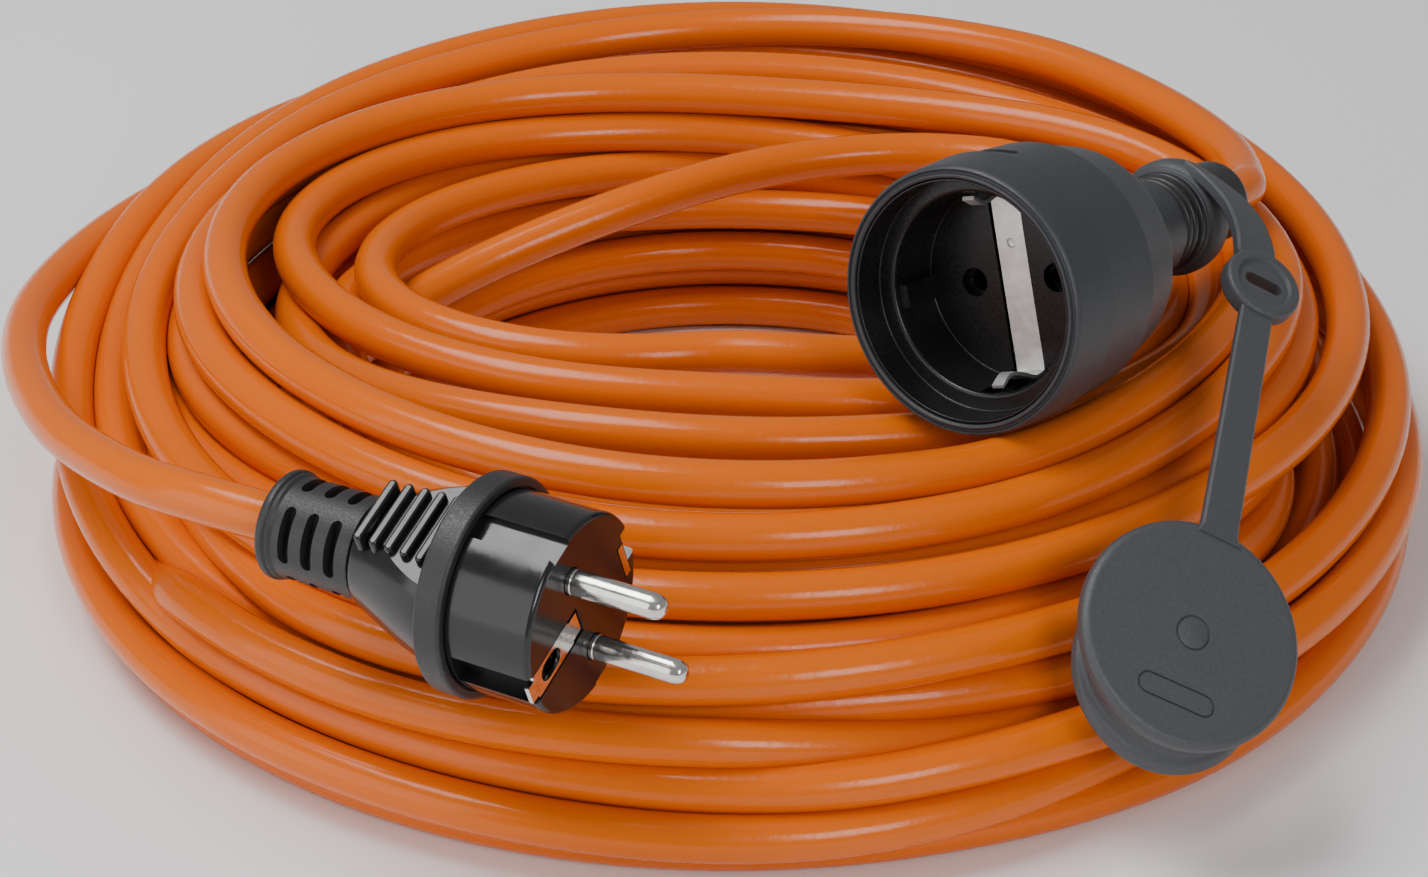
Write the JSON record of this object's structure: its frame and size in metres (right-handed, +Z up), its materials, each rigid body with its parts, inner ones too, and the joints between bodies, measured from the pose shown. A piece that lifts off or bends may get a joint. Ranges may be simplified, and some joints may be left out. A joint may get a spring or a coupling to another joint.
{
  "type": "extension cord",
  "caption": "Coiled rubber extension cord with a round earthed plug, a splash-proof coupler and a sealing cap on a swivel tether.",
  "frame": {"origin": "centre of the object's plan outline, on the plane the coil rests on", "axes": "+Z up, along the coil's axis; +X roughly the way the plug's pins point; the coupler's mouth faces -Y, within 5 degrees, and tips about 10 degrees up"},
  "size_m": [0.3109, 0.3053, 0.113],
  "materials": {
    "orange_jacket": "semi-gloss moulded cord jacket",
    "gloss_black": "gloss moulded",
    "matte_black": "fine-grained moulded",
    "grey_rubber": "matt rubber with a fine grain",
    "nickel": "nickel-plated brass",
    "brass": "bare",
    "core_brown": "brown core insulation",
    "core_blue": "blue core insulation",
    "core_green_yellow": "green and yellow core insulation"
  },
  "bodies": {
    "cord_set": {"cord_coil": "orange_jacket", "cord_plug_lead": "orange_jacket", "cord_coupler_lead": "orange_jacket", "plug_body": "gloss_black", "plug_rear_shell": "gloss_black", "plug_collar": "matte_black", "plug_bend_relief": "matte_black", "pin_live": "nickel", "pin_neutral": "nickel", "plug_earth_clip": "nickel", "plug_earth_tab": "nickel", "plug_earth_socket": "nickel", "plug_crimp_live": "brass", "plug_crimp_neutral": "brass", "plug_crimp_earth": "brass", "plug_core_brown": "core_brown", "plug_core_blue": "core_blue", "plug_core_green_yellow": "core_green_yellow", "coupler_housing": "grey_rubber", "coupler_rim_seal": "grey_rubber", "coupler_insert": "matte_black", "coupler_bend_relief": "matte_black", "coupler_earth_bridge": "nickel", "contact_sleeve_live": "brass", "contact_sleeve_neutral": "brass", "coupler_crimp_live": "brass", "coupler_crimp_neutral": "brass", "coupler_crimp_earth": "brass", "coupler_core_brown": "core_brown", "coupler_core_blue": "core_blue", "coupler_core_green_yellow": "core_green_yellow"},
    "tether": {"tether_ring": "grey_rubber"},
    "strap": {"cap_strap": "grey_rubber"},
    "cap": {"cap": "grey_rubber"}
  },
  "joints": [
    {"name": "tether_swivel", "type": "hinge", "parent": "cord_set", "child": "tether", "pos_m": [0.08191, 0.04798, 0.07395], "axis": [-0.086, -0.9825, 0.1651], "range_deg": [0, 90]},
    {"name": "strap_bend", "type": "hinge", "parent": "tether", "child": "strap", "pos_m": [0.11707, 0.01234, 0.07561], "axis": [-0.7849, -0.4248, 0.451], "range_deg": [0, 60], "stiffness_Nm_per_rad": 0.01},
    {"name": "cap_bend", "type": "hinge", "parent": "strap", "child": "cap", "pos_m": [0.13364, -0.036, 0.05893], "axis": [-0.7815, -0.4424, 0.4399], "range_deg": [0, 75], "stiffness_Nm_per_rad": 0.01}
  ]
}
